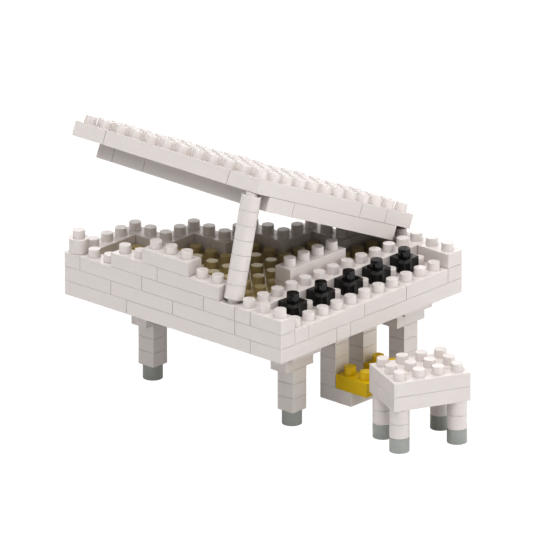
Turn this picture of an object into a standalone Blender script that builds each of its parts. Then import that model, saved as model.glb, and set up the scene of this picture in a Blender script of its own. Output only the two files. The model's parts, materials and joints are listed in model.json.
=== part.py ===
"""Miniature grand piano of micro-sized building bricks, with its bench.

The piano is laid out on the brick grid: one PITCH per cell in plan and one
COURSE per brick in height.  x runs along the keyboard, y from the keyboard
(-Y side) to the tail, level 0 is the underside of the case.
"""
import math

import bmesh
import bpy
from mathutils import Matrix, Vector

# --- brick system -----------------------------------------------------------
PITCH = 0.004
COURSE = 0.00291
STUD_RADIUS = 0.0012
STUD_HEIGHT = 0.00162
STUD_SIDES = 8
ROUND_RADIUS = 0.00194
ROUND_SIDES = 16
SEAM = 0.00006
SMOOTH_LIMIT = math.radians(50.0)

# --- case -------------------------------------------------------------------
CASE_WIDTH = 13
FOOT_LEVEL = -6
# (last x cell + 1, first y cell, last y cell + 1) of each step of the bent side
CASE_STEPS = ((13, 0, 6), (11, 6, 8), (9, 8, 10), (7, 10, 12), (5, 12, 14))
TAIL_ROW = 13
KEY_ROWS = (0, 1)
FALLBOARD_ROW = 2
DESK_CELLS = [(x, 3) for x in range(4, 8)]
BLACK_KEY_CELLS = ((2, 1), (4, 1), (6, 1), (8, 1), (10, 1))

# --- legs and lyre ----------------------------------------------------------
LEG_CELLS = (("front_left", 2, 1), ("front_right", 10, 1), ("tail", 2, 10))
LEG_SHIFT = 0.5
LYRE_X = 5
PEDAL_X = (5, 7)

# --- lid --------------------------------------------------------------------
LID_SIZE = 12
LID_FRONT_Y = 3
LID_ANGLE = math.radians(24.02)
LID_EDGE_X = 12.583 * PITCH
LID_EDGE_Z = 0.01034
# (last x cell + 1, first y cell, last y cell + 1) of the two lid layers
LID_TOP_STEPS = ((12, 0, 4), (10, 4, 6), (8, 6, 8), (6, 8, 10), (4, 10, 12))
LID_UNDER_STEPS = ((11, 0, 2), (9, 2, 5), (7, 5, 7), (5, 7, 9), (3, 9, 11))
LID_UNDER_FIRST_X = 1
LID_TOP_SPLITS = (0, 2, 10, 12)
LID_UNDER_SPLITS = (0, 2, 11)

# --- prop stick -------------------------------------------------------------
PROP_ROUNDS = 7
PROP_LEAN = math.radians(14.3)
PROP_X = 0.515 * PITCH
PROP_Y = 3.5 * PITCH
PROP_Z = 0.00926
# gap between the slanting top of the stick and the lid above it
PROP_TIP_GAP = 0.00006
PROP_BORE_RADIUS = 0.00168
PROP_BORE_DEPTH = 0.0017

# --- bench ------------------------------------------------------------------
BENCH_LENGTH = 4
BENCH_WIDTH = 3
BENCH_ANGLE = math.radians(-24.8)
BENCH_X = 3.065 * PITCH
BENCH_Y = -4.482 * PITCH
BENCH_SEAT_LEVEL = -3

# --- colours ----------------------------------------------------------------
WHITE = ("white_plastic", (0.86, 0.83, 0.81, 1.0))
TAN = ("tan_plastic", (0.30, 0.25, 0.13, 1.0))
BLACK = ("black_plastic", (0.012, 0.012, 0.013, 1.0))
YELLOW = ("yellow_plastic", (0.66, 0.42, 0.02, 1.0))
GRAY = ("gray_plastic", (0.25, 0.27, 0.26, 1.0))

BENCH_FRONT_Y = BENCH_Y + BENCH_LENGTH * PITCH * math.sin(BENCH_ANGLE)
LID_TAIL_Y = (LID_FRONT_Y + LID_SIZE) * PITCH
# Case corner seen from the middle of the footprint, on the floor.
CASE_CORNER = Vector((-CASE_WIDTH * PITCH / 2,
                      -(LID_TAIL_Y + BENCH_FRONT_Y) / 2,
                      -FOOT_LEVEL * COURSE))


def clear_scene():
    """Remove every object the file opened with."""
    for thing in list(bpy.data.objects):
        bpy.data.objects.remove(thing, do_unlink=True)


def plastic(node_name, colour):
    """Glossy moulded plastic, one material per part."""
    material = bpy.data.materials.new(node_name + "_" + colour[0])
    material.use_nodes = True
    shader = material.node_tree.nodes["Principled BSDF"]
    shader.inputs["Base Color"].default_value = colour[1]
    shader.inputs["Roughness"].default_value = 0.3
    return material


def add_part(node_name, bm, colour, place, origin):
    """Turn a grid-built body into a named part with its origin in place."""
    bm.transform(Matrix.Translation(-origin) @ place)
    bmesh.ops.recalc_face_normals(bm, faces=bm.faces)
    mesh = bpy.data.meshes.new(node_name)
    bm.to_mesh(mesh)
    bm.free()
    mesh.shade_smooth()
    mesh.set_sharp_from_angle(angle=SMOOTH_LIMIT)
    mesh.materials.append(plastic(node_name, colour))
    part = bpy.data.objects.new(node_name, mesh)
    part.location = origin
    bpy.context.scene.collection.objects.link(part)
    return part


def ring(bm, centre, radius, sides):
    """Vertices of a regular outline with flats facing the grid directions."""
    half = math.pi / sides
    angles = [half + 2 * math.pi * step / sides for step in range(sides)]
    x, y, z = centre
    return [bm.verts.new((x + radius * math.cos(a), y + radius * math.sin(a), z))
            for a in angles]


def join_rings(bm, low, high):
    """Wall between two rings of equal length."""
    count = len(low)
    for step in range(count):
        after = (step + 1) % count
        bm.faces.new((low[step], low[after], high[after], high[step]))


def stepped_cells(steps, first_x=0, first_y=0, last_y=99):
    """Cells of a stepped outline, optionally only a band of rows."""
    return [(x, y) for end_x, start_y, end_y in steps
            for y in range(max(start_y, first_y), min(end_y, last_y))
            for x in range(first_x, end_x)]


def block(x0, x1, y0, y1):
    """Cells of a rectangle."""
    return [(x, y) for y in range(y0, y1) for x in range(x0, x1)]


class CourseBody:
    """One closed body of whole grid cells, with studs on chosen cells."""

    def __init__(self, cells, low, high, studs=()):
        self.bm = bmesh.new()
        self.cells = set(cells)
        self.studs = set(studs)
        self.z_low = low * COURSE + SEAM
        self.z_high = high * COURSE
        self.corners = {}
        for cell in sorted(self.cells):
            self.add_cell(cell)
        self.melt_flats()

    def inset(self, x, y):
        """Side clearance at a grid corner, pointing into the material."""
        filled = [(dx, dy) for dx in (-1, 1) for dy in (-1, 1)
                  if (x + (dx - 1) // 2, y + (dy - 1) // 2) in self.cells]
        pull = [sum(step[axis] for step in filled) for axis in (0, 1)]
        return [(value > 0) - (value < 0) for value in pull]

    def corner(self, x, y, z):
        """Shared vertex at a grid corner of the lower or upper face."""
        if (x, y, z) not in self.corners:
            dx, dy = self.inset(x, y)
            half = SEAM / 2
            spot = (x * PITCH + dx * half, y * PITCH + dy * half, z)
            self.corners[(x, y, z)] = self.bm.verts.new(spot)
        return self.corners[(x, y, z)]

    def loop(self, cell, z):
        """The four corners of a cell, counter-clockwise from above."""
        x, y = cell
        steps = ((x, y), (x + 1, y), (x + 1, y + 1), (x, y + 1))
        return [self.corner(*step, z) for step in steps]

    def add_cell(self, cell):
        """Lower face, upper face and the open sides of one cell."""
        low = self.loop(cell, self.z_low)
        high = self.loop(cell, self.z_high)
        self.bm.faces.new(low[::-1])
        if cell in self.studs:
            self.add_stud(cell, high)
        else:
            self.bm.faces.new(high)
        sides = ((0, -1), (1, 0), (0, 1), (-1, 0))
        for side, (dx, dy) in enumerate(sides):
            if (cell[0] + dx, cell[1] + dy) not in self.cells:
                after = (side + 1) % 4
                self.bm.faces.new((low[side], low[after], high[after], high[side]))

    def add_stud(self, cell, square):
        """Stud standing on a cell, with the ring of top face around it."""
        centre = ((cell[0] + 0.5) * PITCH, (cell[1] + 0.5) * PITCH)
        foot = ring(self.bm, (*centre, self.z_high), STUD_RADIUS, STUD_SIDES)
        crown = ring(self.bm, (*centre, self.z_high + STUD_HEIGHT),
                     STUD_RADIUS, STUD_SIDES)
        join_rings(self.bm, foot, crown)
        self.bm.faces.new(crown)
        # Foot vertices 0 and 1 lie beside corner 2 of the square, 2 and 3
        # beside corner 3, and so on round.
        for quarter in range(4):
            here = square[(quarter + 2) % 4]
            after = square[(quarter + 3) % 4]
            first, second = foot[2 * quarter], foot[2 * quarter + 1]
            third = foot[(2 * quarter + 2) % STUD_SIDES]
            self.bm.faces.new((here, second, first))
            self.bm.faces.new((here, after, third, second))

    def melt_flats(self):
        """Join the cell faces of the flat underside into larger faces."""
        under = [face for face in self.bm.faces
                 if all(v.co.z == face.verts[0].co.z for v in face.verts)
                 and abs(face.verts[0].co.z - self.z_low) < SEAM / 4]
        edges = {edge for face in under for edge in face.edges
                 if all(other in under for other in edge.link_faces)}
        bmesh.ops.dissolve_edges(self.bm, edges=list(edges), use_verts=False)


def fixed_body(node_name, cells, low, high, studs=(), colour=WHITE, shift=(0, 0)):
    """A part of the piano itself, standing still."""
    place = Matrix.Translation(CASE_CORNER + Vector((*shift, 0)) * PITCH)
    body = CourseBody(cells, low, high, studs)
    middle_x = sum(x for x, _ in cells) / len(cells) + 0.5
    middle_y = sum(y for _, y in cells) / len(cells) + 0.5
    origin = place @ Vector((middle_x * PITCH, middle_y * PITCH, low * COURSE))
    return add_part(node_name, body.bm, colour, place, origin)


def round_body(radius, z_low, z_high, stud_height=0.0, slant=0.0, bore=None):
    """Round brick round the z axis; the optional stud's top may slant along x."""
    bm = bmesh.new()
    low = ring(bm, (0, 0, z_low), radius, ROUND_SIDES)
    high = ring(bm, (0, 0, z_high), radius, ROUND_SIDES)
    join_rings(bm, low, high)
    if stud_height:
        foot = ring(bm, (0, 0, z_high), STUD_RADIUS, ROUND_SIDES)
        crown = ring(bm, (0, 0, z_high + stud_height), STUD_RADIUS, ROUND_SIDES)
        for vert in crown:
            vert.co.z += slant * vert.co.x
        join_rings(bm, high, foot)
        join_rings(bm, foot, crown)
        bm.faces.new(crown)
    else:
        bm.faces.new(high)
    if bore:
        mouth = ring(bm, (0, 0, z_low), bore[0], ROUND_SIDES)
        end = ring(bm, (0, 0, z_low + bore[1]), bore[0], ROUND_SIDES)
        join_rings(bm, low, mouth)
        join_rings(bm, mouth, end)
        bm.faces.new(end)
    else:
        bm.faces.new(low)
    return bm


def build_case():
    """Floor course, key bed course, soundboard and the rim round them."""
    outline = stepped_cells(CASE_STEPS)
    inner = [(x, y) for x, y in outline if all(
        (x + dx, y + dy) in outline for dx in (-1, 0, 1) for dy in (-1, 0, 1))]
    board = [cell for cell in inner if cell[1] > FALLBOARD_ROW]
    ledge = [cell for cell in outline if cell not in board]
    key_studs = [(x, y) for x in range(1, CASE_WIDTH - 1) for y in KEY_ROWS
                 if (x, y) not in BLACK_KEY_CELLS]
    open_board = [cell for cell in board if cell not in DESK_CELLS]
    fixed_body("case_floor", outline, 0, 1)
    fixed_body("case_key_bed", block(0, CASE_WIDTH, 0, FALLBOARD_ROW + 1), 1, 2, key_studs)
    fixed_body("soundboard", board, 1, 2, open_board, TAN)
    rim = [cell for cell in ledge if cell[1] > FALLBOARD_ROW]
    near = block(0, 1, FALLBOARD_ROW + 1, TAIL_ROW)
    tail = [cell for cell in rim if cell[1] == TAIL_ROW]
    bent = [cell for cell in rim if cell not in near and cell not in tail]
    fixed_body("case_side_near", near, 1, 2)
    fixed_body("case_side_bent", bent + tail, 1, 2)
    build_rim(near, bent, tail)


def build_rim(near, bent, tail):
    """Third course of the case: cheeks, fallboard row and side walls."""
    cheek = block(0, 1, 0, FALLBOARD_ROW)
    far_cheek = block(CASE_WIDTH - 1, CASE_WIDTH, 0, FALLBOARD_ROW)
    fallboard = block(0, CASE_WIDTH, FALLBOARD_ROW, FALLBOARD_ROW + 1)
    fixed_body("cheek_left", cheek, 2, 3, cheek)
    fixed_body("cheek_right", far_cheek, 2, 3, far_cheek)
    fixed_body("fallboard_row", fallboard, 2, 3, fallboard)
    fixed_body("rim_near_side", near, 2, 3, ((0, 3), (0, 11), (0, 12)))
    fixed_body("rim_bent_side", bent, 2, 3, bent)
    fixed_body("rim_tail", tail, 2, 3, tail[1:])
    fixed_body("near_wall_fourth", block(0, 1, 4, 11), 3, 4,
               ((0, 4), (0, 5), (0, 9), (0, 10)))
    fixed_body("near_wall_fifth", block(0, 1, 6, 9), 4, 5, block(0, 1, 6, 9))


def build_tail_cap():
    """Round brick standing on the tail corner of the case."""
    spot = Vector((0.5 * PITCH, (TAIL_ROW + 0.5) * PITCH, 3 * COURSE)) + CASE_CORNER
    bm = round_body(ROUND_RADIUS, SEAM, COURSE, STUD_HEIGHT)
    add_part("tail_cap_round", bm, WHITE, Matrix.Translation(spot), spot)


def build_keyboard():
    """Music desk behind the keys and the black keys."""
    fixed_body("music_desk_lower", DESK_CELLS, 2, 3)
    fixed_body("music_desk_upper", DESK_CELLS, 3, 4, DESK_CELLS)
    for number, cell in enumerate(BLACK_KEY_CELLS, start=1):
        fixed_body("black_key_%d" % number, [cell], 2, 3, [cell], BLACK)


def build_leg(side, x, y):
    """Stepped collar, square post and round foot of one leg."""
    fixed_body("leg_%s_collar_upper" % side, block(x, x + 2, y, y + 2), -1, 0)
    fixed_body("leg_%s_collar_lower" % side, block(x, x + 2, y, y + 1), -2, -1,
               shift=(0, LEG_SHIFT))
    fixed_body("leg_%s_post" % side, [(x, y)], -5, -2, shift=(LEG_SHIFT, LEG_SHIFT))
    middle = (x + LEG_SHIFT + 0.5, y + LEG_SHIFT + 0.5)
    spot = CASE_CORNER + Vector((middle[0] * PITCH, middle[1] * PITCH,
                                 FOOT_LEVEL * COURSE))
    foot = round_body(ROUND_RADIUS, 0, COURSE)
    add_part("leg_%s_foot" % side, foot, GRAY, Matrix.Translation(spot), spot)


def build_lyre():
    """Pedal lyre hanging under the keyboard."""
    fixed_body("lyre_base", block(LYRE_X, LYRE_X + 3, 0, 2), -5, -4)
    for number, x in enumerate(PEDAL_X, start=1):
        fixed_body("lyre_post_%d" % number, [(x, 1)], -4, 0)
        pedal = block(x, x + 1, -1, 1)
        fixed_body("pedal_%d" % number, pedal, -4, -3, pedal, YELLOW)


def build_lid():
    """Two brick layers of the lid, leaning on the bent-side edge."""
    hinge = CASE_CORNER + Vector((LID_EDGE_X, LID_FRONT_Y * PITCH, LID_EDGE_Z))
    place = (Matrix.Translation(hinge) @ Matrix.Rotation(LID_ANGLE, 4, "Y")
             @ Matrix.Translation((-LID_SIZE * PITCH, 0, 0)))
    top_bands = zip(("front", "middle", "tail"), LID_TOP_SPLITS, LID_TOP_SPLITS[1:])
    for band, start, end in top_bands:
        cells = stepped_cells(LID_TOP_STEPS, 0, start, end)
        body = CourseBody(cells, 0, 1, cells)
        add_part("lid_top_" + band, body.bm, WHITE, place, hinge)
    under_bands = zip(("front", "rear"), LID_UNDER_SPLITS, LID_UNDER_SPLITS[1:])
    for band, start, end in under_bands:
        cells = stepped_cells(LID_UNDER_STEPS, LID_UNDER_FIRST_X, start, end)
        body = CourseBody(cells, -1, 0)
        add_part("lid_under_" + band, body.bm, WHITE, place, hinge)


def prop_tip(base):
    """Mean height and slant of the last stud, cut off along the lid's underside."""
    slope = math.tan(LID_ANGLE)
    meets = ((LID_EDGE_Z + (LID_EDGE_X - PROP_X) * slope - PROP_Z)
             / (math.cos(PROP_LEAN) + math.sin(PROP_LEAN) * slope))
    return meets - PROP_TIP_GAP - base, -math.tan(LID_ANGLE - PROP_LEAN)


def build_prop():
    """Seven round bricks leaning under the front corner of the lid."""
    pivot = CASE_CORNER + Vector((PROP_X, PROP_Y, PROP_Z))
    lean = Matrix.Translation(pivot) @ Matrix.Rotation(PROP_LEAN, 4, "Y")
    for number in range(PROP_ROUNDS):
        low = number * COURSE + (SEAM if number else 0)
        high = (number + 1) * COURSE
        bore = None if number else (PROP_BORE_RADIUS, PROP_BORE_DEPTH)
        if number < PROP_ROUNDS - 1:
            bm = round_body(ROUND_RADIUS, low, high, bore=bore)
        else:
            bm = round_body(ROUND_RADIUS, low, high, *prop_tip(high))
        add_part("prop_round_%d" % (number + 1), bm, WHITE, lean, pivot)


def build_bench():
    """Two seat courses on four round legs, turned towards the keyboard."""
    corner = CASE_CORNER + Vector((BENCH_X, BENCH_Y, 0))
    turn = Matrix.Translation(corner) @ Matrix.Rotation(BENCH_ANGLE, 4, "Z")
    middle = turn @ Vector((BENCH_LENGTH * PITCH / 2, BENCH_WIDTH * PITCH / 2,
                            BENCH_SEAT_LEVEL * COURSE))
    seat = block(0, BENCH_LENGTH, 0, BENCH_WIDTH)
    level = BENCH_SEAT_LEVEL
    add_part("bench_seat_lower", CourseBody(seat, level, level + 1).bm,
             WHITE, turn, middle)
    add_part("bench_seat_upper", CourseBody(seat, level + 1, level + 2, seat).bm,
             WHITE, turn, middle)
    ends = [(x, y) for y in (0.5, BENCH_WIDTH - 0.5) for x in (0.5, BENCH_LENGTH - 0.5)]
    for number, (x, y) in enumerate(ends, start=1):
        stand = turn @ Matrix.Translation((x * PITCH, y * PITCH, FOOT_LEVEL * COURSE))
        foot = round_body(ROUND_RADIUS, 0, COURSE)
        post = round_body(ROUND_RADIUS, COURSE + SEAM, 3 * COURSE)
        add_part("bench_foot_%d" % number, foot, GRAY, stand, middle)
        add_part("bench_post_%d" % number, post, WHITE, stand, middle)


def main():
    """Build every part of the piano and the bench."""
    clear_scene()
    build_case()
    build_tail_cap()
    build_keyboard()
    for side, x, y in LEG_CELLS:
        build_leg(side, x, y)
    build_lyre()
    build_lid()
    build_prop()
    build_bench()


main()
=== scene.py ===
import json
import math
import random

import bmesh
import bpy
from mathutils import Matrix, Vector


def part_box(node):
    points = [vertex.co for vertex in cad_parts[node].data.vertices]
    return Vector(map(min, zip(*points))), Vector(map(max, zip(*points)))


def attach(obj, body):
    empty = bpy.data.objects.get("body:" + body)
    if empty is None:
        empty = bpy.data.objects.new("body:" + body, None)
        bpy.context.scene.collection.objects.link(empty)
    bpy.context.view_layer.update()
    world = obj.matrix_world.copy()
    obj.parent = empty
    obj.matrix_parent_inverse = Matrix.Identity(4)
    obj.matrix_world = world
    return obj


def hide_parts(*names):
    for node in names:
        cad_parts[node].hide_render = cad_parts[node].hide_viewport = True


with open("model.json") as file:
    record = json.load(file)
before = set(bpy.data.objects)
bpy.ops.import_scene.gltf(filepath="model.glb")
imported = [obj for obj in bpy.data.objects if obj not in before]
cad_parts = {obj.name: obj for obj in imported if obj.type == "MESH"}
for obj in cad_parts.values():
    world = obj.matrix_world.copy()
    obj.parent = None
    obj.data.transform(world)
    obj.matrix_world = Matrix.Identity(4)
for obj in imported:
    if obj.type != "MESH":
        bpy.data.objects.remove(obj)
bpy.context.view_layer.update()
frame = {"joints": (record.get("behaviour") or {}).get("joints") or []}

# --- brick system, in metres ------------------------------------------------------
PITCH = 0.004
COURSE = 0.00291
CAD_SEAM = 0.00006
SEAM = 0.00004
SIDE_SEAM = 0.00009
STUD_ROOT = 0.00122
STUD_CROWN = 0.00116
STUD_HEIGHT = 0.00162
STUD_SIDES = 64
ROUND_RADIUS = 0.00194
ROUND_SIDES = 64
SOCKET_HALF = 0.00135
SOCKET_DEPTH = 0.0019
EDGE_RADIUS = 0.00004
EDGE_STEPS = 2
EDGE_PROFILE = 0.5
SHARP_ANGLE = math.radians(40.0)
TINT_RANGE = 0.25

# --- what stands off the grid, in metres, radians and cells -------------------------
LID_ANGLE = math.radians(24.02)
LID_CELLS = 12
LID_FRONT_Y = 3
PROP_LEAN = math.radians(14.3)
PROP_ROUNDS = 7
PROP_TIP_GAP = 0.00005
PROP_BORE = 0.00168
PROP_BORE_DEPTH = 0.0017
BENCH_ANGLE = math.radians(-24.8)
BENCH_LENGTH = 4
BENCH_WIDTH = 3

# --- levels of the courses under the case floor, counted downwards from 0 -----------
COLLAR_UPPER_LEVEL = -1
COLLAR_LOWER_LEVEL = -2
POST_LEVELS = (-3, -4, -5)
FOOT_LEVEL = -6
LYRE_POST_LEVELS = (-1, -2, -3, -4)
PEDAL_LEVEL = -4
LYRE_BASE_LEVEL = -5
SEAT_UPPER_LEVEL = -2
SEAT_LOWER_LEVEL = -3

# --- bricks of each course: (x0, x1, y0, y1) in grid cells --------------------------
FLOOR_BRICKS = (
    (0, 4, 0, 2), (4, 5, 0, 2), (5, 13, 0, 2), (0, 2, 2, 10), (2, 4, 2, 10), (4, 5, 2, 10),
    (5, 13, 2, 4), (5, 13, 4, 6), (5, 11, 6, 8), (5, 9, 8, 10), (0, 2, 10, 14), (2, 4, 10, 14),
    (4, 7, 10, 12), (4, 5, 12, 14))
KEY_BED_BRICKS = (
    (0, 1, 0, 3), (1, 2, 0, 3), (2, 6, 0, 2), (6, 9, 0, 2), (9, 12, 0, 2), (12, 13, 0, 4),
    (2, 6, 2, 3), (6, 12, 2, 3), (12, 13, 4, 6), (10, 12, 5, 6), (10, 11, 6, 8), (8, 10, 7, 8),
    (8, 9, 8, 10), (6, 8, 9, 10), (6, 7, 10, 12), (4, 6, 11, 12), (4, 5, 12, 14),
    (1, 4, 13, 14), (0, 1, 11, 14), (0, 1, 7, 11), (0, 1, 3, 7))
BOARD_BRICKS = (
    (1, 9, 3, 5), (9, 12, 3, 5), (1, 9, 5, 7), (9, 10, 5, 7), (1, 5, 7, 9), (5, 8, 7, 9),
    (1, 5, 9, 11), (5, 6, 9, 11), (1, 4, 11, 13))
CHEEK_LEFT_BRICKS = ((0, 1, 0, 2),)
CHEEK_RIGHT_BRICKS = ((12, 13, 0, 2),)
FALLBOARD_BRICKS = ((0, 1, 2, 3), (1, 9, 2, 3), (9, 13, 2, 3))
NEAR_SIDE_BRICKS = ((0, 1, 3, 5), (0, 1, 5, 9), (0, 1, 9, 13))
BENT_SIDE_BRICKS = (
    (12, 13, 3, 5), (10, 13, 5, 6), (10, 11, 6, 8), (8, 10, 7, 8), (8, 9, 8, 10), (6, 8, 9, 10),
    (6, 7, 10, 12), (4, 6, 11, 12))
TAIL_CORNER_BRICKS = ((4, 5, 12, 14),)
TAIL_SIDE_BRICKS = ((0, 4, 13, 14),)
NEAR_FOURTH_BRICKS = ((0, 1, 4, 8), (0, 1, 8, 11))
NEAR_FIFTH_BRICKS = ((0, 1, 6, 9),)
DESK_BRICKS = ((4, 8, 3, 4),)
LID_TOP_BRICKS = {
    "front": ((0, 8, 0, 2), (8, 10, 0, 2), (10, 12, 0, 2)),
    "middle": ((0, 2, 2, 10), (2, 10, 2, 4), (10, 12, 2, 4), (2, 10, 4, 6), (2, 6, 6, 8),
               (6, 8, 6, 8), (2, 6, 8, 10)),
    "tail": ((0, 4, 10, 12),)}
LID_UNDER_BRICKS = {
    "front": ((3, 11, 0, 2),),
    "rear": ((3, 9, 2, 4), (3, 9, 4, 5), (3, 7, 5, 7), (3, 5, 7, 9), (1, 3, 8, 10), (1, 3, 10, 11))}
LID_UNDER_NEAR_BRICK = (1, 3, 0, 8)
SEAT_UPPER_BRICKS = ((0, 4, 0, 1), (0, 4, 1, 3))
SEAT_LOWER_BRICKS = ((0, 4, 0, 2), (0, 4, 2, 3))
BLACK_KEYS = ((2, 1), (4, 1), (6, 1), (8, 1), (10, 1))
LEGS = (("front_left", 2, 1), ("front_right", 10, 1), ("tail", 2, 10))
LYRE_BASE_BRICKS = ((5, 8, 0, 2),)
PEDAL_COLUMNS = (5, 7)
KEY_BED_ROWS = 3
TAIL_ROW = 13
CASE_CELLS = (0, 13, 0, 14)
KEY_CELLS = (1, 12, 0, 2)
TAIL_STUD_CELLS = (1, 5, 13, 14)
NEAR_SIDE_STUDS = {(0, 3), (0, 11), (0, 12)}
NEAR_FOURTH_STUDS = {(0, 4), (0, 5), (0, 9), (0, 10)}
TAIL_CAP_CENTRE = (0.5, 13.5)

random.seed(7)
# Low corner of the case's first grid cell, under its floor.
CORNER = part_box("case_floor")[0] - Vector((CAD_SEAM / 2, CAD_SEAM / 2, CAD_SEAM))
JOINT_AT = {joint["name"]: Vector(joint["pos_m"]) for joint in frame["joints"] if "pos_m" in joint}


# --- materials ----------------------------------------------------------------------
CLOUD_SCALE, CLOUD_DETAIL = 160.0, 3.0
CLOUD_SHARE = 0.6
SMEAR_SCALE, SMEAR_DETAIL = 420.0, 4.0
SMEAR_LOW, SMEAR_HIGH = -0.02, 0.03
RIPPLE_SCALE, RIPPLE_DETAIL = 330.0, 1.0
RIPPLE_HEIGHT = 0.00002
GRAIN_SCALE, GRAIN_DETAIL = 5200.0, 2.0
GRAIN_HEIGHT = 0.000002
BUMP_STRENGTH = 0.02
# Share of the lighter edge colour: a painted highlight on the rounded edges.
EDGE_HIGHLIGHT_SHARE = 0.55
EDGE_ROUGHNESS = 0.08


def math_node(tree, operation, first, second):
    """Result of an operation on two values; each is a socket or a number."""
    node = tree.nodes.new("ShaderNodeMath")
    node.operation = operation
    for value, socket in ((first, node.inputs[0]), (second, node.inputs[1])):
        if isinstance(value, bpy.types.NodeSocket):
            tree.links.new(value, socket)
        else:
            socket.default_value = value
    return node.outputs[0]


def noise(tree, coords, scale, detail):
    """A noise texture in the piece's own coordinates."""
    node = tree.nodes.new("ShaderNodeTexNoise")
    node.inputs["Scale"].default_value = scale
    node.inputs["Detail"].default_value = detail
    tree.links.new(coords, node.inputs["Vector"])
    return node.outputs["Fac"]


def remap(tree, value, low, high, from_low=0.3, from_high=0.7):
    """Stretch a value onto a range."""
    node = tree.nodes.new("ShaderNodeMapRange")
    for name, number in (("From Min", from_low), ("From Max", from_high),
                         ("To Min", low), ("To Max", high)):
        node.inputs[name].default_value = number
    tree.links.new(value, node.inputs["Value"])
    return node.outputs["Result"]


def attribute(tree, name):
    """A number stored on the mesh's faces."""
    node = tree.nodes.new("ShaderNodeAttribute")
    node.attribute_name = name
    return node.outputs["Fac"]


def blend_colour(tree, factor, first, second):
    """Mix two colours; each is a socket or a plain colour."""
    node = tree.nodes.new("ShaderNodeMix")
    node.data_type = "RGBA"
    tree.links.new(factor, node.inputs["Factor"])
    for colour, socket in ((first, node.inputs[6]), (second, node.inputs[7])):
        if isinstance(colour, bpy.types.NodeSocket):
            tree.links.new(colour, socket)
        else:
            socket.default_value = (*colour, 1.0)
    return node.outputs[2]


def bump(tree, height, distance, normal=None):
    """Raise or sink the surface by a value."""
    node = tree.nodes.new("ShaderNodeBump")
    node.inputs["Strength"].default_value = BUMP_STRENGTH
    node.inputs["Distance"].default_value = distance
    tree.links.new(height, node.inputs["Height"])
    if normal:
        tree.links.new(normal, node.inputs["Normal"])
    return node.outputs["Normal"]


def plastic(name, light, dark, edge, roughness=0.14, specular=0.5):
    """Moulded plastic: cloudy colour, a shade per brick, rounded edges with a painted highlight in
    a lighter colour and rubbed roughness for wear, fine ripple and grain.
    """
    material = bpy.data.materials.new(name)
    material.use_nodes = True
    tree = material.node_tree
    shader = tree.nodes["Principled BSDF"]
    coords = tree.nodes.new("ShaderNodeTexCoord").outputs["Object"]
    cloud = remap(tree, noise(tree, coords, CLOUD_SCALE, CLOUD_DETAIL), 0.0, CLOUD_SHARE)
    shade = math_node(tree, "ADD", cloud, attribute(tree, "tint"))
    body = blend_colour(tree, shade, light, dark)
    # Painted highlight: the rounded edge faces blend towards the lighter edge colour.
    wear_and_highlight = remap(tree, attribute(tree, "wear_and_highlight"), 0.0, EDGE_HIGHLIGHT_SHARE, 0.0, 1.0)
    tree.links.new(blend_colour(tree, wear_and_highlight, body, edge), shader.inputs["Base Color"])
    smear = remap(tree, noise(tree, coords, SMEAR_SCALE, SMEAR_DETAIL),
                  roughness + SMEAR_LOW, roughness + SMEAR_HIGH)
    # Wear: the same rounded edge faces are rubbed rougher.
    rub = remap(tree, attribute(tree, "wear_and_highlight"), 0.0, EDGE_ROUGHNESS, 0.0, 1.0)
    tree.links.new(math_node(tree, "ADD", smear, rub), shader.inputs["Roughness"])
    ripple = bump(tree, noise(tree, coords, RIPPLE_SCALE, RIPPLE_DETAIL), RIPPLE_HEIGHT)
    grain = bump(tree, noise(tree, coords, GRAIN_SCALE, GRAIN_DETAIL), GRAIN_HEIGHT, ripple)
    tree.links.new(grain, shader.inputs["Normal"])
    shader.inputs["Specular IOR Level"].default_value = specular
    return material


# The third colour of each material is the painted highlight on the rounded edges.
MATERIALS = {
    "white_plastic": plastic("white_plastic_moulded", (0.785, 0.741, 0.720), (0.77, 0.726, 0.705),
                             (0.84, 0.81, 0.79)),
    "tan_plastic": plastic("tan_plastic_moulded", (0.52, 0.43, 0.235), (0.47, 0.385, 0.205),
                           (0.60, 0.51, 0.32)),
    "black_plastic": plastic("black_plastic_moulded", (0.005, 0.005, 0.005), (0.004, 0.004, 0.004),
                             (0.03, 0.03, 0.032), 0.05, 1.0),
    "yellow_plastic": plastic("yellow_plastic_moulded", (0.74, 0.54, 0.016), (0.70, 0.51, 0.013),
                              (0.82, 0.63, 0.07)),
    "gray_plastic": plastic("gray_plastic_moulded", (0.465, 0.48, 0.46), (0.435, 0.45, 0.43),
                            (0.53, 0.545, 0.53)),
}


# --- brick geometry -----------------------------------------------------------------
def ring(bm, centre, radius, sides):
    """Vertices of a circle, the first on +X."""
    x, y, z = centre
    return [bm.verts.new((x + radius * math.cos(2 * math.pi * step / sides),
                          y + radius * math.sin(2 * math.pi * step / sides), z))
            for step in range(sides)]


def join_rings(bm, low, high):
    """Wall between two rings of equal length."""
    count = len(low)
    for step in range(count):
        after = (step + 1) % count
        bm.faces.new((low[step], low[after], high[after], high[step]))


def add_stud(bm, square, centre, z):
    """Stud with the flat of its cell round it; square starts at the low corner."""
    foot = ring(bm, (*centre, z), STUD_ROOT, STUD_SIDES)
    crown = ring(bm, (*centre, z + STUD_HEIGHT), STUD_CROWN, STUD_SIDES)
    join_rings(bm, foot, crown)
    bm.faces.new(crown)
    eighth = STUD_SIDES // 8
    quarter = STUD_SIDES // 4
    for side in range(4):
        # The foot vertex beside corner 0 of the square is at 225 degrees.
        start = 5 * eighth + side * quarter
        arc = [foot[(start + step) % STUD_SIDES] for step in range(quarter + 1)]
        bm.faces.new([square[side], square[(side + 1) % 4]] + arc[::-1])


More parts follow.
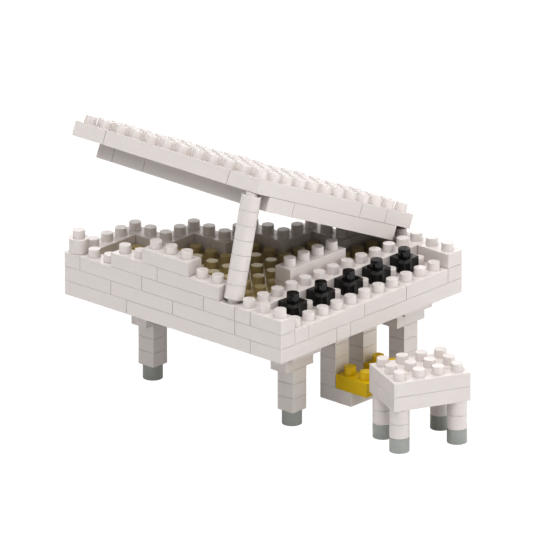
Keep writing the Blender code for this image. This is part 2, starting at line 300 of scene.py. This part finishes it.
def add_socket(bm, square, centre, z):
    """Square pocket in the underside of a cell, open downwards."""
    x, y = centre
    steps = ((-1, -1), (1, -1), (1, 1), (-1, 1))
    mouth, end = [[bm.verts.new((x + dx * SOCKET_HALF, y + dy * SOCKET_HALF, level))
                   for dx, dy in steps] for level in (z, z + SOCKET_DEPTH)]
    join_rings(bm, square, mouth)
    join_rings(bm, mouth, end)
    bm.faces.new(end)


def brick_body(width, depth, studs=(), sockets=False):
    """Brick of whole cells, its low corner at the origin, one course high."""
    bm = bmesh.new()
    low, high = SEAM / 2, COURSE - SEAM / 2
    corners = {}
    for z in (low, high):
        for i in range(width + 1):
            for j in range(depth + 1):
                x = i * PITCH + SIDE_SEAM / 2 * ((i == 0) - (i == width))
                y = j * PITCH + SIDE_SEAM / 2 * ((j == 0) - (j == depth))
                corners[(i, j, z)] = bm.verts.new((x, y, z))
    for i in range(width):
        for j in range(depth):
            around = ((i, j), (i + 1, j), (i + 1, j + 1), (i, j + 1))
            under, upper = [[corners[(*step, z)] for step in around] for z in (low, high)]
            centre = ((i + 0.5) * PITCH, (j + 0.5) * PITCH)
            if sockets:
                add_socket(bm, under, centre, low)
            else:
                bm.faces.new(under)
            if (i, j) in studs:
                add_stud(bm, upper, centre, high)
            else:
                bm.faces.new(upper)
    rim = ([(i, 0) for i in range(width)], [(width, j) for j in range(depth)],
           [(i, depth) for i in range(width, 0, -1)], [(0, j) for j in range(depth, 0, -1)])
    for side in range(4):
        line = rim[side] + [rim[(side + 1) % 4][0]]
        wall = [corners[(*step, low)] for step in line]
        bm.faces.new(wall + [corners[(*step, high)] for step in reversed(line)])
    return bm


def round_body(low, high, stud=0.0, slant=0.0, bore=None):
    """Round brick round the z axis; the optional stud's top may slant along x."""
    bm = bmesh.new()
    foot = ring(bm, (0, 0, low), ROUND_RADIUS, ROUND_SIDES)
    rim = ring(bm, (0, 0, high), ROUND_RADIUS, ROUND_SIDES)
    join_rings(bm, foot, rim)
    top = rim
    if stud:
        root = ring(bm, (0, 0, high), STUD_ROOT, ROUND_SIDES)
        top = ring(bm, (0, 0, high + stud), STUD_CROWN, ROUND_SIDES)
        for vert in top:
            vert.co.z += slant * vert.co.x
        join_rings(bm, rim, root)
        join_rings(bm, root, top)
    bm.faces.new(top)
    inner = foot
    if bore:
        mouth = ring(bm, (0, 0, low), bore[0], ROUND_SIDES)
        inner = ring(bm, (0, 0, low + bore[1]), bore[0], ROUND_SIDES)
        join_rings(bm, foot, mouth)
        join_rings(bm, mouth, inner)
    bm.faces.new(inner)
    return bm


def soften(bm):
    """Round the outer edges, keep the inner corners crisp, mark the rounded faces for wear and a
    painted highlight.
    """
    bmesh.ops.recalc_face_normals(bm, faces=bm.faces)
    wear_and_highlight = bm.faces.layers.float.new("wear_and_highlight")
    tint = bm.faces.layers.float.new("tint")
    turned = [edge for edge in bm.edges if edge.calc_face_angle(0.0) > SHARP_ANGLE]
    outer = [edge for edge in turned if edge.is_convex]
    for edge in turned:
        if not edge.is_convex:
            edge.smooth = False
    made = bmesh.ops.bevel(bm, geom=outer, offset=EDGE_RADIUS, offset_type="OFFSET",
                           segments=EDGE_STEPS, profile=EDGE_PROFILE, affect="EDGES",
                           clamp_overlap=True)
    rounded = set(made["faces"])
    brick_tint = random.uniform(-TINT_RANGE, TINT_RANGE)
    for face in bm.faces:
        # The rounded faces get the mark for the painted highlight colour and the rubbed roughness.
        face[wear_and_highlight] = 1.0 if face in rounded else 0.0
        face[tint] = brick_tint
        face.smooth = True


def add_piece(name, bm, place, body, nodes, slot="white_plastic"):
    """Turn a body into a named piece that moves with its CAD body."""
    soften(bm)
    bm.transform(place)
    mesh = bpy.data.meshes.new(name)
    bm.to_mesh(mesh)
    bm.free()
    mesh.materials.append(MATERIALS[slot])
    piece = bpy.data.objects.new(name, mesh)
    bpy.context.scene.collection.objects.link(piece)
    normals = piece.modifiers.new("even_normals", "WEIGHTED_NORMAL")
    normals.keep_sharp = True
    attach(piece, body)
    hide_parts(*nodes)
    return piece


def add_brick(name, cells, level, place, body, nodes, studs=(), slot="white_plastic",
              sockets=False):
    """One brick on the grid; studs is the set of grid cells that carry one."""
    x0, x1, y0, y1 = cells
    own = {(x - x0, y - y0) for x in range(x0, x1) for y in range(y0, y1) if (x, y) in studs}
    bm = brick_body(x1 - x0, y1 - y0, own, sockets)
    at = Matrix.Translation((x0 * PITCH, y0 * PITCH, level * COURSE))
    return add_piece(name, bm, place @ at, body, nodes, slot)


def block(x0, x1, y0, y1):
    """Cells of a rectangle."""
    return {(x, y) for x in range(x0, x1) for y in range(y0, y1)}


def cells_of(bricks):
    """Cells that a list of bricks covers."""
    return set().union(*[block(*cells) for cells in bricks])


# --- the piano ----------------------------------------------------------------------
HOME = Matrix.Translation(CORNER)


def lay_course(prefix, bricks, level, nodes, studs=(), slot="white_plastic", sockets=False):
    """A course of case bricks, numbered in the order they are listed."""
    for number, cells in enumerate(bricks, start=1):
        add_brick("%s_%02d" % (prefix, number), cells, level, HOME, "piano", nodes, studs, slot,
                  sockets)


def key_bed_nodes(x0, x1, y0, y1):
    """CAD nodes of the second course that a brick takes part in."""
    nodes = []
    if y0 < KEY_BED_ROWS:
        nodes.append("case_key_bed")
    if y1 > KEY_BED_ROWS and x0 == 0:
        nodes.append("case_side_near")
    if y1 > KEY_BED_ROWS and (x1 > 1 or y1 > TAIL_ROW):
        nodes.append("case_side_bent")
    return nodes


def build_case():
    """Floor, key bed and soundboard courses."""
    keys = block(*KEY_CELLS) - set(BLACK_KEYS)
    board = cells_of(BOARD_BRICKS) - cells_of(DESK_BRICKS)
    lay_course("floor_brick", FLOOR_BRICKS, 0, ["case_floor"], sockets=True)
    for number, cells in enumerate(KEY_BED_BRICKS, start=1):
        add_brick("key_bed_brick_%02d" % number, cells, 1, HOME, "piano", key_bed_nodes(*cells),
                  keys)
    lay_course("soundboard_brick", BOARD_BRICKS, 1, ["soundboard"], board, "tan_plastic")


def build_rim():
    """Third course and the taller bricks of the near side."""
    everywhere = block(*CASE_CELLS)
    lay_course("cheek_left_brick", CHEEK_LEFT_BRICKS, 2, ["cheek_left"], everywhere)
    lay_course("cheek_right_brick", CHEEK_RIGHT_BRICKS, 2, ["cheek_right"], everywhere)
    lay_course("fallboard_brick", FALLBOARD_BRICKS, 2, ["fallboard_row"], everywhere)
    lay_course("near_side_brick", NEAR_SIDE_BRICKS, 2, ["rim_near_side"], NEAR_SIDE_STUDS)
    lay_course("bent_side_brick", BENT_SIDE_BRICKS, 2, ["rim_bent_side"], everywhere)
    lay_course("tail_corner_brick", TAIL_CORNER_BRICKS, 2, ["rim_bent_side", "rim_tail"],
               everywhere)
    lay_course("tail_side_brick", TAIL_SIDE_BRICKS, 2, ["rim_tail"], block(*TAIL_STUD_CELLS))
    lay_course("near_fourth_brick", NEAR_FOURTH_BRICKS, 3, ["near_wall_fourth"],
               NEAR_FOURTH_STUDS)
    lay_course("near_fifth_brick", NEAR_FIFTH_BRICKS, 4, ["near_wall_fifth"], everywhere)
    x, y = TAIL_CAP_CENTRE
    cap = HOME @ Matrix.Translation((x * PITCH, y * PITCH, 3 * COURSE))
    add_piece("tail_cap", round_body(SEAM / 2, COURSE - SEAM / 2, STUD_HEIGHT), cap, "piano",
              ["tail_cap_round"])


def build_keyboard():
    """Music desk and black keys."""
    lay_course("desk_lower_brick", DESK_BRICKS, 2, ["music_desk_lower"])
    lay_course("desk_upper_brick", DESK_BRICKS, 3, ["music_desk_upper"], cells_of(DESK_BRICKS))
    for number, (x, y) in enumerate(BLACK_KEYS, start=1):
        add_brick("black_key_brick_%d" % number, (x, x + 1, y, y + 1), 2, HOME, "piano",
                  ["black_key_%d" % number], {(x, y)}, "black_plastic")


def build_legs():
    """Collars on the grid, then half a cell over, the posts and round feet."""
    for side, x, y in LEGS:
        base = "leg_%s_" % side
        half_y = HOME @ Matrix.Translation((0, PITCH / 2, 0))
        half = HOME @ Matrix.Translation((PITCH / 2, PITCH / 2, 0))
        add_brick(base + "upper_brick", (x, x + 2, y, y + 2), COLLAR_UPPER_LEVEL, HOME, "piano",
                  [base + "collar_upper"], sockets=True)
        add_brick(base + "lower_brick", (x, x + 2, y, y + 1), COLLAR_LOWER_LEVEL, half_y, "piano",
                  [base + "collar_lower"], sockets=True)
        for level in POST_LEVELS:
            add_brick(base + "post_brick_%d" % -level, (x, x + 1, y, y + 1), level, half, "piano",
                      [base + "post"], sockets=True)
        foot = half @ Matrix.Translation(((x + 0.5) * PITCH, (y + 0.5) * PITCH,
                                          FOOT_LEVEL * COURSE))
        add_piece(base + "foot_round", round_body(0, COURSE - SEAM / 2), foot, "piano",
                  [base + "foot"], "gray_plastic")


def build_lyre():
    """Pedal lyre: base, two posts and two pedals."""
    lay_course("lyre_base_brick", LYRE_BASE_BRICKS, LYRE_BASE_LEVEL, ["lyre_base"], sockets=True)
    for number, x in enumerate(PEDAL_COLUMNS, start=1):
        for level in LYRE_POST_LEVELS:
            add_brick("lyre_post_%d_brick_%d" % (number, -level), (x, x + 1, 1, 2), level, HOME,
                      "piano", ["lyre_post_%d" % number])
        pedal = (x, x + 1, -1, 1)
        add_brick("pedal_brick_%d" % number, pedal, PEDAL_LEVEL, HOME, "piano",
                  ["pedal_%d" % number], block(*pedal), "yellow_plastic", True)


def build_lid():
    """Both brick layers of the lid, tilted about its lower edge."""
    hinge = JOINT_AT["lid_hinge"]
    front_y = CORNER.y + LID_FRONT_Y * PITCH
    place = (Matrix.Translation((hinge.x, front_y, hinge.z)) @ Matrix.Rotation(LID_ANGLE, 4, "Y")
             @ Matrix.Translation((-LID_CELLS * PITCH, 0, 0)))
    everywhere = block(0, LID_CELLS, 0, LID_CELLS)
    for band, bricks in LID_TOP_BRICKS.items():
        for number, cells in enumerate(bricks, start=1):
            add_brick("lid_top_%s_brick_%d" % (band, number), cells, 0, place, "lid",
                      ["lid_top_" + band], everywhere, sockets=True)
    for band, bricks in LID_UNDER_BRICKS.items():
        for number, cells in enumerate(bricks, start=1):
            add_brick("lid_under_%s_brick_%d" % (band, number), cells, -1, place, "lid",
                      ["lid_under_" + band], sockets=True)
    add_brick("lid_under_near_brick", LID_UNDER_NEAR_BRICK, -1, place, "lid",
              ["lid_under_front", "lid_under_rear"], sockets=True)


def prop_tip(base):
    """Mean height and slant of the stick's stud, cut off along the lid's underside."""
    hinge, pivot = JOINT_AT["lid_hinge"], JOINT_AT["prop_pivot"]
    slope = math.tan(LID_ANGLE)
    meets = ((hinge.z + (hinge.x - pivot.x) * slope - pivot.z)
             / (math.cos(PROP_LEAN) + math.sin(PROP_LEAN) * slope))
    return meets - PROP_TIP_GAP - base, -math.tan(LID_ANGLE - PROP_LEAN)


def build_prop():
    """Seven round bricks leaning under the lid."""
    place = Matrix.Translation(JOINT_AT["prop_pivot"]) @ Matrix.Rotation(PROP_LEAN, 4, "Y")
    for number in range(PROP_ROUNDS):
        low = number * COURSE + SEAM / 2
        high = (number + 1) * COURSE - SEAM / 2
        bore = None if number else (PROP_BORE, PROP_BORE_DEPTH)
        tip = prop_tip(high) if number == PROP_ROUNDS - 1 else (0.0, 0.0)
        add_piece("prop_brick_%d" % (number + 1), round_body(low, high, *tip, bore), place,
                  "prop_stick", ["prop_round_%d" % (number + 1)])


def build_bench():
    """Seat of two brick courses on four round legs."""
    low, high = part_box("bench_seat_lower")
    middle = (low + high) / 2
    place = (Matrix.Translation((middle.x, middle.y, CORNER.z))
             @ Matrix.Rotation(BENCH_ANGLE, 4, "Z")
             @ Matrix.Translation((-BENCH_LENGTH * PITCH / 2, -BENCH_WIDTH * PITCH / 2, 0)))
    everywhere = block(0, BENCH_LENGTH, 0, BENCH_WIDTH)
    seats = (("upper", SEAT_UPPER_LEVEL, SEAT_UPPER_BRICKS, everywhere, False),
             ("lower", SEAT_LOWER_LEVEL, SEAT_LOWER_BRICKS, (), True))
    for layer, level, bricks, studs, sockets in seats:
        for number, cells in enumerate(bricks, start=1):
            add_brick("bench_%s_brick_%d" % (layer, number), cells, level, place, "bench",
                      ["bench_seat_" + layer], studs, sockets=sockets)
    ends = [(x, y) for y in (0.5, BENCH_WIDTH - 0.5) for x in (0.5, BENCH_LENGTH - 0.5)]
    for number, (x, y) in enumerate(ends, start=1):
        stand = place @ Matrix.Translation((x * PITCH, y * PITCH, FOOT_LEVEL * COURSE))
        add_piece("bench_foot_round_%d" % number, round_body(0, COURSE - SEAM / 2), stand,
                  "bench", ["bench_foot_%d" % number], "gray_plastic")
        for step in (1, 2):
            body = round_body(step * COURSE + SEAM / 2, (step + 1) * COURSE - SEAM / 2)
            add_piece("bench_leg_%d_round_%d" % (number, step), body, stand, "bench",
                      ["bench_post_%d" % number])


# --- studio -------------------------------------------------------------------------
CAMERA_AZIMUTH = -47.99
CAMERA_ELEVATION = 20.97
CAMERA_LENS = 1600.0
CAMERA_SENSOR = 36.0
CAMERA_DISTANCE = 4.552
CAMERA_CLIP = (0.1, 20.0)
LOOK_AT = CORNER + Vector((6.730, 7.0, 1.2948)) * PITCH
# Soft light round the whole piano: azimuth, elevation, focus and strength of each lobe.
LIGHT_LOBES = (
    (-135.0, 5.0, 10.0, 0.55), (0.0, 5.0, 10.0, 1.25), (45.0, 5.0, 10.0, 1.5),
    (90.0, 5.0, 10.0, 1.2), (135.0, 5.0, 10.0, 1.0), (0.0, 38.0, 10.0, 0.75),
    (135.0, 38.0, 10.0, 0.8), (-78.0, 66.0, 12.0, 3.8), (0.0, 90.0, 40.0, 3.0))
AMBIENT = 0.25
FLOOR_HALF = 1.5
FLOOR_GRAY = (0.85, 0.85, 0.85)
FLOOR_ROUGHNESS = 0.9
PAPER_WHITE = 1.05
PICTURE_GAMMA = 0.7


def facing(azimuth, elevation):
    """Unit vector towards a side and a height, both in degrees; azimuth 0 is the keyboard side."""
    side, height = math.radians(azimuth), math.radians(elevation)
    return Vector((math.sin(side) * math.cos(height), -math.cos(side) * math.cos(height),
                   math.sin(height)))


def build_camera():
    """Long lens at the height and side of the picture."""
    back = facing(CAMERA_AZIMUTH, CAMERA_ELEVATION)
    data = bpy.data.cameras.new("camera")
    data.lens = CAMERA_LENS
    data.sensor_width = CAMERA_SENSOR
    data.clip_start, data.clip_end = CAMERA_CLIP
    camera = bpy.data.objects.new("camera", data)
    camera.location = LOOK_AT + back * CAMERA_DISTANCE
    camera.rotation_euler = (-back).to_track_quat("-Z", "Y").to_euler()
    bpy.context.scene.collection.objects.link(camera)
    bpy.context.scene.camera = camera


def build_light():
    """Soft lobes of light in the world, which the camera itself sees as white."""
    world = bpy.data.worlds.new("studio")
    bpy.context.scene.world = world
    world.use_nodes = True
    tree = world.node_tree
    direction = tree.nodes.new("ShaderNodeTexCoord").outputs["Generated"]
    total = AMBIENT
    for azimuth, elevation, focus, strength in LIGHT_LOBES:
        towards = tree.nodes.new("ShaderNodeVectorMath")
        towards.operation = "DOT_PRODUCT"
        towards.inputs[1].default_value = facing(azimuth, elevation)
        tree.links.new(direction, towards.inputs[0])
        lit = math_node(tree, "MAXIMUM", towards.outputs["Value"], 0.0)
        lobe = math_node(tree, "MULTIPLY", math_node(tree, "POWER", lit, focus), strength)
        total = math_node(tree, "ADD", lobe, total)
    seen = tree.nodes.new("ShaderNodeLightPath").outputs["Is Camera Ray"]
    level = math_node(tree, "MAXIMUM", total, math_node(tree, "MULTIPLY", seen, PAPER_WHITE))
    sky = tree.nodes["Background"]
    sky.inputs["Color"].default_value = (1.0, 1.0, 1.0, 1.0)
    tree.links.new(level, sky.inputs["Strength"])


def floor_paper():
    """Paper that looks plain white and still reflects the studio's light onto the piano."""
    material = bpy.data.materials.new("floor_paper")
    material.use_nodes = True
    tree = material.node_tree
    shader = tree.nodes["Principled BSDF"]
    shader.inputs["Base Color"].default_value = (*FLOOR_GRAY, 1.0)
    shader.inputs["Roughness"].default_value = FLOOR_ROUGHNESS
    shader.inputs["Specular IOR Level"].default_value = 0.0
    glow = tree.nodes.new("ShaderNodeEmission")
    glow.inputs["Strength"].default_value = PAPER_WHITE
    seen = tree.nodes.new("ShaderNodeLightPath").outputs["Is Camera Ray"]
    mix = tree.nodes.new("ShaderNodeMixShader")
    tree.links.new(seen, mix.inputs["Fac"])
    tree.links.new(shader.outputs["BSDF"], mix.inputs[1])
    tree.links.new(glow.outputs["Emission"], mix.inputs[2])
    tree.links.new(mix.outputs["Shader"], tree.nodes["Material Output"].inputs["Surface"])
    return material


def build_floor():
    """Wide square floor under the piano."""
    bm = bmesh.new()
    bm.faces.new([bm.verts.new((x * FLOOR_HALF, y * FLOOR_HALF, 0))
                  for x, y in ((-1, -1), (1, -1), (1, 1), (-1, 1))])
    mesh = bpy.data.meshes.new("floor")
    bm.to_mesh(mesh)
    bm.free()
    mesh.materials.append(floor_paper())
    floor = bpy.data.objects.new("floor", mesh)
    bpy.context.scene.collection.objects.link(floor)


build_case()
build_rim()
build_keyboard()
build_legs()
build_lyre()
build_lid()
build_prop()
build_bench()
build_camera()
build_light()
build_floor()
bpy.context.scene.view_settings.view_transform = "Standard"
bpy.context.scene.view_settings.gamma = PICTURE_GAMMA
